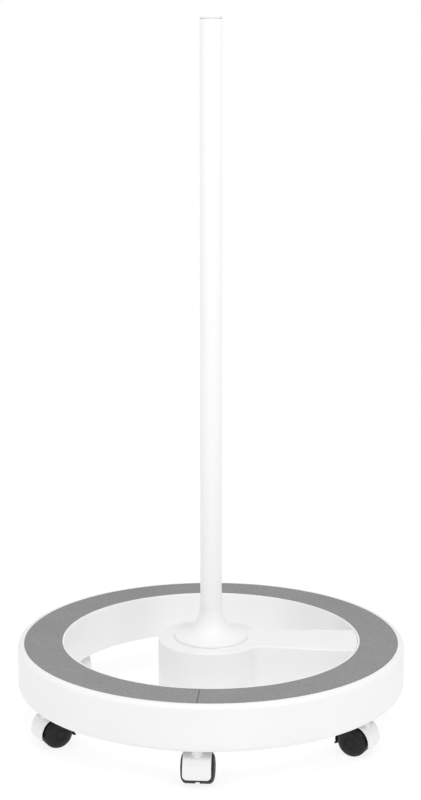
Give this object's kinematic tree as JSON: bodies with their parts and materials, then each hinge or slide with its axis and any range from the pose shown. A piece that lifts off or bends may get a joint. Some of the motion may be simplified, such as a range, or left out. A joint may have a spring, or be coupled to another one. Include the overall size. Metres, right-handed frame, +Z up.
{
  "type": "rolling lamp stand",
  "caption": "Rolling floor stand for an examination lamp: tall round pole on a hub with one arm in a weighted ring base with grey treads and hooded twin-wheel castors.",
  "frame": {"origin": "on the floor, under the pole's axis", "axes": "+Z up along the pole, +X from the hub along the arm to the ring, +Y to its left"},
  "size_m": [0.5, 0.5, 0.8933],
  "materials": {
    "white_shell": "satin white moulding",
    "white_paint": "smooth white powder coat",
    "grey_tread": "matte grey, fine grain",
    "black_plastic": "black moulding",
    "bush_plastic": "white moulding",
    "cast_iron": "as cast",
    "zinc_steel": "zinc plated"
  },
  "bodies": {
    "base": {"ring_shell": "white_shell", "base_plate": "zinc_steel", "ballast_ring": "cast_iron", "inlay_left": "grey_tread", "inlay_right": "grey_tread", "hub_arm": "white_shell", "hub_plate": "zinc_steel", "arm_bolt_left": "zinc_steel", "arm_bolt_right": "zinc_steel", "pole_tube": "white_paint", "pole_collar": "white_shell", "pole_foot": "zinc_steel", "pole_bolt": "zinc_steel", "pole_washer": "zinc_steel", "top_bush": "bush_plastic", "plate_screw_1": "zinc_steel", "plate_screw_2": "zinc_steel", "plate_screw_3": "zinc_steel", "plate_screw_4": "zinc_steel", "plate_screw_5": "zinc_steel", "plate_screw_6": "zinc_steel", "castor_1_socket": "bush_plastic", "castor_2_socket": "bush_plastic", "castor_3_socket": "bush_plastic", "castor_4_socket": "bush_plastic", "castor_5_socket": "bush_plastic", "castor_6_socket": "bush_plastic"},
    "castor_1": {"castor_1_stem": "zinc_steel", "castor_1_hood": "white_shell", "castor_1_axle": "zinc_steel"},
    "castor_1_left": {"castor_1_wheel_left": "black_plastic"},
    "castor_1_right": {"castor_1_wheel_right": "black_plastic"},
    "castor_2": {"castor_2_stem": "zinc_steel", "castor_2_hood": "white_shell", "castor_2_axle": "zinc_steel"},
    "castor_2_left": {"castor_2_wheel_left": "black_plastic"},
    "castor_2_right": {"castor_2_wheel_right": "black_plastic"},
    "castor_3": {"castor_3_stem": "zinc_steel", "castor_3_hood": "white_shell", "castor_3_axle": "zinc_steel"},
    "castor_3_left": {"castor_3_wheel_left": "black_plastic"},
    "castor_3_right": {"castor_3_wheel_right": "black_plastic"},
    "castor_4": {"castor_4_stem": "zinc_steel", "castor_4_hood": "white_shell", "castor_4_axle": "zinc_steel"},
    "castor_4_left": {"castor_4_wheel_left": "black_plastic"},
    "castor_4_right": {"castor_4_wheel_right": "black_plastic"},
    "castor_4_lever": {"castor_4_lock_lever": "black_plastic"},
    "castor_5": {"castor_5_stem": "zinc_steel", "castor_5_hood": "white_shell", "castor_5_axle": "zinc_steel"},
    "castor_5_left": {"castor_5_wheel_left": "black_plastic"},
    "castor_5_right": {"castor_5_wheel_right": "black_plastic"},
    "castor_6": {"castor_6_stem": "zinc_steel", "castor_6_hood": "white_shell", "castor_6_axle": "zinc_steel"},
    "castor_6_left": {"castor_6_wheel_left": "black_plastic"},
    "castor_6_right": {"castor_6_wheel_right": "black_plastic"},
    "castor_6_lever": {"castor_6_lock_lever": "black_plastic"}
  },
  "joints": [
    {"name": "castor_1_swivel", "type": "hinge", "parent": "base", "child": "castor_1", "pos_m": [0.19696, 0.1207, 0.06], "axis": [0, 0, 1], "continuous": true},
    {"name": "castor_1_left_spin", "type": "hinge", "parent": "castor_1", "child": "castor_1_left", "pos_m": [0.18987, 0.11516, 0.019], "axis": [-0.6157, 0.788, 0], "continuous": true},
    {"name": "castor_1_right_spin", "type": "hinge", "parent": "castor_1", "child": "castor_1_right", "pos_m": [0.18987, 0.11516, 0.019], "axis": [-0.6157, 0.788, 0], "continuous": true},
    {"name": "castor_2_swivel", "type": "hinge", "parent": "base", "child": "castor_2", "pos_m": [0, 0.231, 0.06], "axis": [0, 0, 1], "continuous": true},
    {"name": "castor_2_left_spin", "type": "hinge", "parent": "castor_2", "child": "castor_2_left", "pos_m": [-0.00218, 0.22227, 0.019], "axis": [-0.9703, 0.2419, 0], "continuous": true},
    {"name": "castor_2_right_spin", "type": "hinge", "parent": "castor_2", "child": "castor_2_right", "pos_m": [-0.00218, 0.22227, 0.019], "axis": [-0.9703, 0.2419, 0], "continuous": true},
    {"name": "castor_3_swivel", "type": "hinge", "parent": "base", "child": "castor_3", "pos_m": [-0.19696, 0.1207, 0.06], "axis": [0, 0, 1], "continuous": true},
    {"name": "castor_3_left_spin", "type": "hinge", "parent": "castor_3", "child": "castor_3_left", "pos_m": [-0.20332, 0.12706, 0.019], "axis": [0.7071, 0.7071, 0], "continuous": true},
    {"name": "castor_3_right_spin", "type": "hinge", "parent": "castor_3", "child": "castor_3_right", "pos_m": [-0.20332, 0.12706, 0.019], "axis": [0.7071, 0.7071, 0], "continuous": true},
    {"name": "castor_4_swivel", "type": "hinge", "parent": "base", "child": "castor_4", "pos_m": [-0.19696, -0.1207, 0.06], "axis": [0, 0, 1], "continuous": true},
    {"name": "castor_4_left_spin", "type": "hinge", "parent": "castor_4", "child": "castor_4_left", "pos_m": [-0.18929, -0.116, 0.019], "axis": [0.5225, -0.8526, 0], "continuous": true},
    {"name": "castor_4_right_spin", "type": "hinge", "parent": "castor_4", "child": "castor_4_right", "pos_m": [-0.18929, -0.116, 0.019], "axis": [0.5225, -0.8526, 0], "continuous": true},
    {"name": "castor_4_lock", "type": "hinge", "parent": "castor_4", "child": "castor_4_lever", "pos_m": [-0.18929, -0.116, 0.019], "axis": [-0.5225, 0.8526, 0], "range_deg": [0, 12]},
    {"name": "castor_5_swivel", "type": "hinge", "parent": "base", "child": "castor_5", "pos_m": [0, -0.231, 0.06], "axis": [0, 0, 1], "continuous": true},
    {"name": "castor_5_left_spin", "type": "hinge", "parent": "castor_5", "child": "castor_5_left", "pos_m": [0, -0.222, 0.019], "axis": [1, 0, 0], "continuous": true},
    {"name": "castor_5_right_spin", "type": "hinge", "parent": "castor_5", "child": "castor_5_right", "pos_m": [0, -0.222, 0.019], "axis": [1, 0, 0], "continuous": true},
    {"name": "castor_6_swivel", "type": "hinge", "parent": "base", "child": "castor_6", "pos_m": [0.19696, -0.1207, 0.06], "axis": [0, 0, 1], "continuous": true},
    {"name": "castor_6_left_spin", "type": "hinge", "parent": "castor_6", "child": "castor_6_left", "pos_m": [0.18877, -0.11696, 0.019], "axis": [0.4147, 0.91, 0], "continuous": true},
    {"name": "castor_6_right_spin", "type": "hinge", "parent": "castor_6", "child": "castor_6_right", "pos_m": [0.18877, -0.11696, 0.019], "axis": [0.4147, 0.91, 0], "continuous": true},
    {"name": "castor_6_lock", "type": "hinge", "parent": "castor_6", "child": "castor_6_lever", "pos_m": [0.18877, -0.11696, 0.019], "axis": [-0.4147, -0.91, 0], "range_deg": [0, 12]}
  ]
}
